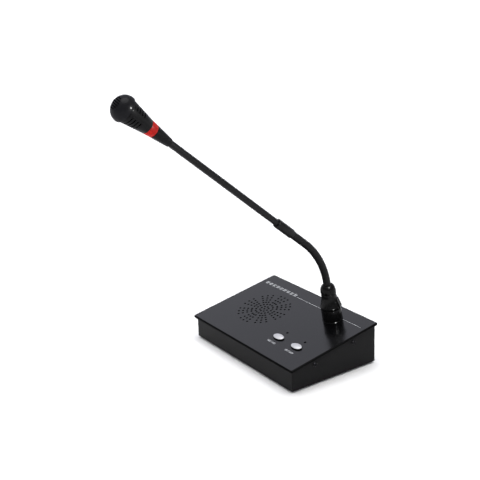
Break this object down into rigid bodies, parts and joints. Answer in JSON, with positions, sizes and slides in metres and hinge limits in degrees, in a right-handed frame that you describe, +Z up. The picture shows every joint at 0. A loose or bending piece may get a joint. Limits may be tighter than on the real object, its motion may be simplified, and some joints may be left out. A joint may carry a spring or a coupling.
{
  "type": "paging microphone",
  "caption": "Desk paging microphone: a sloping metal base with a round speaker grille, oval push buttons and a plug-in gooseneck microphone with a red indicator ring.",
  "frame": {"origin": "on the table under the middle of the base, on the lower face of the rubber pad", "axes": "+X to the user's right, +Y away from the user, +Z up; the panel slopes down towards -Y"},
  "size_m": [0.208, 0.3054, 0.3622],
  "materials": {
    "case_paint": "satin black paint on folded sheet steel",
    "panel_paint": "semi-gloss dark grey paint",
    "satin_black": "satin black coating",
    "neck_black": "smooth black flexible sleeve",
    "rubber": "matt",
    "foam": "open foam",
    "silver": "silver",
    "black_plastic": "fine texture",
    "zinc": "zinc plated",
    "bright_steel": "nickel plated",
    "dark_steel": "blackened",
    "ferrite": "bare ferrite",
    "brass": "plain",
    "paper": "pressed paper",
    "cloth": "resin-stiffened cloth",
    "board": "solder mask",
    "lamp_dark": "dark tinted, unlit",
    "lamp_white": "clear",
    "ring_red": "translucent red",
    "capacitor": "shrink sleeve"
  },
  "bodies": {
    "base": {"chassis_tray": "case_paint", "top_panel": "panel_paint", "panel_brackets": "zinc", "side_screws": "dark_steel", "base_pad": "rubber", "speaker_gasket": "foam", "speaker_studs": "zinc", "speaker_nuts": "zinc", "speaker_frame": "zinc", "speaker_top_plate": "dark_steel", "speaker_magnet": "ferrite", "speaker_yoke": "zinc", "speaker_surround": "rubber", "speaker_spider": "cloth", "switch_bodies": "black_plastic", "panel_lamps": "lamp_dark", "switch_board": "board", "switch_board_posts": "brass", "switch_board_screws": "zinc", "mic_socket": "satin_black", "socket_nut": "zinc", "socket_insert": "black_plastic", "socket_pins": "brass", "main_board": "board", "main_board_posts": "brass", "main_board_screws": "zinc", "network_jack": "zinc", "power_jack": "black_plastic", "board_chips": "black_plastic", "board_capacitors": "capacitor"},
    "cone": {"speaker_cone": "paper", "voice_coil": "brass", "dust_cap": "paper"},
    "button_left": {"button_cap_left": "silver", "switch_plunger_left": "black_plastic"},
    "button_right": {"button_cap_right": "silver", "switch_plunger_right": "black_plastic"},
    "microphone": {"plug_housing": "satin_black", "plug_nose": "bright_steel", "plug_insert": "black_plastic", "plug_contacts": "brass", "latch_pin": "bright_steel", "plug_boot": "rubber", "neck_flex_1": "neck_black"},
    "latch": {"release_latch": "black_plastic"},
    "neck_1": {"neck_flex_2": "neck_black"},
    "neck_2": {"neck_flex_3": "neck_black"},
    "neck_3": {"neck_flex_4": "neck_black"},
    "neck_top": {"neck_sleeve": "satin_black", "upper_tube": "satin_black", "head_tail": "satin_black", "indicator_ring": "ring_red", "ring_board": "board", "ring_lamps": "lamp_white", "head_body": "satin_black", "capsule_mount": "rubber", "mic_capsule": "zinc", "foam_disc": "foam", "head_grille": "satin_black"}
  },
  "joints": [
    {"name": "button_left_press", "type": "slide", "parent": "base", "child": "button_left", "axis": [0, 0.1752, -0.9845], "range_m": [0, 0.0015], "stiffness_N_per_m": 300, "springref_m": -0.0025},
    {"name": "button_right_press", "type": "slide", "parent": "base", "child": "button_right", "axis": [0, 0.1752, -0.9845], "range_m": [0, 0.0015], "stiffness_N_per_m": 300, "springref_m": -0.0025},
    {"name": "cone_move", "type": "slide", "parent": "base", "child": "cone", "axis": [0, -0.1752, 0.9845], "range_m": [-0.0008, 0.0008], "stiffness_N_per_m": 1500, "deforming": ["speaker_surround", "speaker_spider"]},
    {"name": "microphone_unplug", "type": "slide", "parent": "base", "child": "microphone", "axis": [0, -0.1752, 0.9845], "range_m": [0, 0.016]},
    {"name": "latch_press", "type": "hinge", "parent": "microphone", "child": "latch", "pos_m": [0.0597, 0.03791, 0.07571], "axis": [-0.5592, 0.8162, 0.1452], "range_deg": [0, 4], "stiffness_Nm_per_rad": 0.15, "springref_deg": -5.73},
    {"name": "neck_bend_1", "type": "hinge", "parent": "microphone", "child": "neck_1", "pos_m": [0.0522, 0.02666, 0.1079], "axis": [1, 0, 0], "range_deg": [-25, 25], "deforming": ["neck_flex_1"]},
    {"name": "neck_bend_2", "type": "hinge", "parent": "neck_1", "child": "neck_2", "pos_m": [0.0522, 0.01809, 0.12912], "axis": [0, 0.8765, 0.4815], "range_deg": [-25, 25], "deforming": ["neck_flex_2"]},
    {"name": "neck_bend_3", "type": "hinge", "parent": "neck_2", "child": "neck_3", "pos_m": [0.0522, 0.00478, 0.14773], "axis": [1, 0, 0], "range_deg": [-25, 25], "deforming": ["neck_flex_3"]},
    {"name": "neck_bend_4", "type": "hinge", "parent": "neck_3", "child": "neck_top", "pos_m": [0.0522, -0.0132, 0.16416], "axis": [0, 0.6535, 0.7569], "range_deg": [-25, 25], "deforming": ["neck_flex_4"]}
  ]
}
